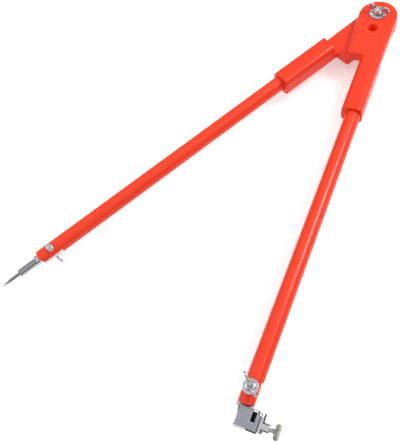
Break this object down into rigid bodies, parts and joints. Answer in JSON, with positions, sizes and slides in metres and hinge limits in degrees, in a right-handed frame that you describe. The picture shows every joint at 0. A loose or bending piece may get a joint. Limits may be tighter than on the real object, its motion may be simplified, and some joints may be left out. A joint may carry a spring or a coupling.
{
  "type": "hinged leg compass",
  "caption": "Large hinged two-leg compass with tubular legs, a steel point on one leg and a screw-closed pencil clamp on the other; wing nuts lock the hinge and both pivoting feet.",
  "frame": {"origin": "on the hinge axis, at the back face of the hinge bolt's head", "axes": "+Z along the hinge axis towards the front, where the wing nut is; -Y from the hinge along the pencil leg; the point leg opens towards -X"},
  "size_m": [0.339, 0.5563, 0.0496],
  "materials": {
    "painted_castings": "gloss orange-red paint",
    "painted_tube": "gloss orange-red paint",
    "zinc_bolts": "bright zinc plated",
    "zinc_washers": "bright zinc plated",
    "wing_nuts": "zinc plated casting",
    "foot_steel": "zinc plated sheet steel",
    "chuck_steel": "turned steel",
    "point_steel": "hardened steel",
    "clamp_steel": "polished nickel",
    "wheel_metal": "matte grey, knurled"
  },
  "bodies": {
    "pencil_leg": {"front_arm": "painted_castings", "pencil_leg_tube": "painted_tube", "hinge_bolt": "zinc_bolts", "hinge_front_washer": "zinc_washers", "pencil_knee_bolt": "zinc_bolts", "pencil_knee_washer": "zinc_washers"},
    "point_leg": {"back_arm": "painted_castings", "point_leg_tube": "painted_tube", "hinge_back_washer": "zinc_washers", "point_knee_bolt": "zinc_bolts"},
    "point_holder": {"point_bracket": "foot_steel", "point_chuck": "chuck_steel", "steel_point": "point_steel", "point_knee_washer": "zinc_washers"},
    "pencil_holder": {"pencil_bracket": "foot_steel", "clamp_block": "clamp_steel", "clamp_end": "clamp_steel", "screw_boss": "clamp_steel"},
    "jaw": {"clamp_jaw": "clamp_steel"},
    "screw": {"thumb_screw": "zinc_bolts", "thumb_wheel": "wheel_metal"},
    "hinge_nut": {"hinge_wing_nut": "wing_nuts"},
    "pencil_nut": {"pencil_wing_nut": "wing_nuts"},
    "point_nut": {"point_wing_nut": "wing_nuts"}
  },
  "joints": [
    {"name": "leg_hinge", "type": "hinge", "parent": "pencil_leg", "child": "point_leg", "pos_m": [0, 0, 0.018], "axis": [0, 0, -1], "range_deg": [-26, 150]},
    {"name": "point_knee", "type": "hinge", "parent": "point_leg", "child": "point_holder", "pos_m": [-0.25526, -0.42429, 0.018], "axis": [0.225, -0.1279, 0.9659], "range_deg": [-90, 90]},
    {"name": "pencil_knee", "type": "hinge", "parent": "pencil_leg", "child": "pencil_holder", "pos_m": [0.0122, -0.495, 0.018], "axis": [0, 0, 1], "range_deg": [-90, 90]},
    {"name": "jaw_slide", "type": "slide", "parent": "pencil_holder", "child": "jaw", "axis": [-1, 0, 0], "range_m": [-0.0009, 0.0045]},
    {"name": "thumb_screw_turn", "type": "hinge", "parent": "jaw", "child": "screw", "pos_m": [0.0487, -0.525, 0.02175], "axis": [-1, 0, 0], "range_deg": [-410, 2030]},
    {"name": "hinge_nut_turn", "type": "hinge", "parent": "pencil_leg", "child": "hinge_nut", "pos_m": [0, 0, 0.032], "axis": [0, 0, 1], "continuous": true},
    {"name": "pencil_nut_turn", "type": "hinge", "parent": "pencil_leg", "child": "pencil_nut", "pos_m": [0.0122, -0.495, 0.0282], "axis": [0, 0, 1], "continuous": true},
    {"name": "point_nut_turn", "type": "hinge", "parent": "point_leg", "child": "point_nut", "pos_m": [-0.25526, -0.42429, 0.018], "axis": [0.225, -0.1279, 0.9659], "continuous": true}
  ],
  "couplings": [
    {"joint": "thumb_screw_turn", "follows": "jaw_slide", "rad_per_m": 7854}
  ]
}
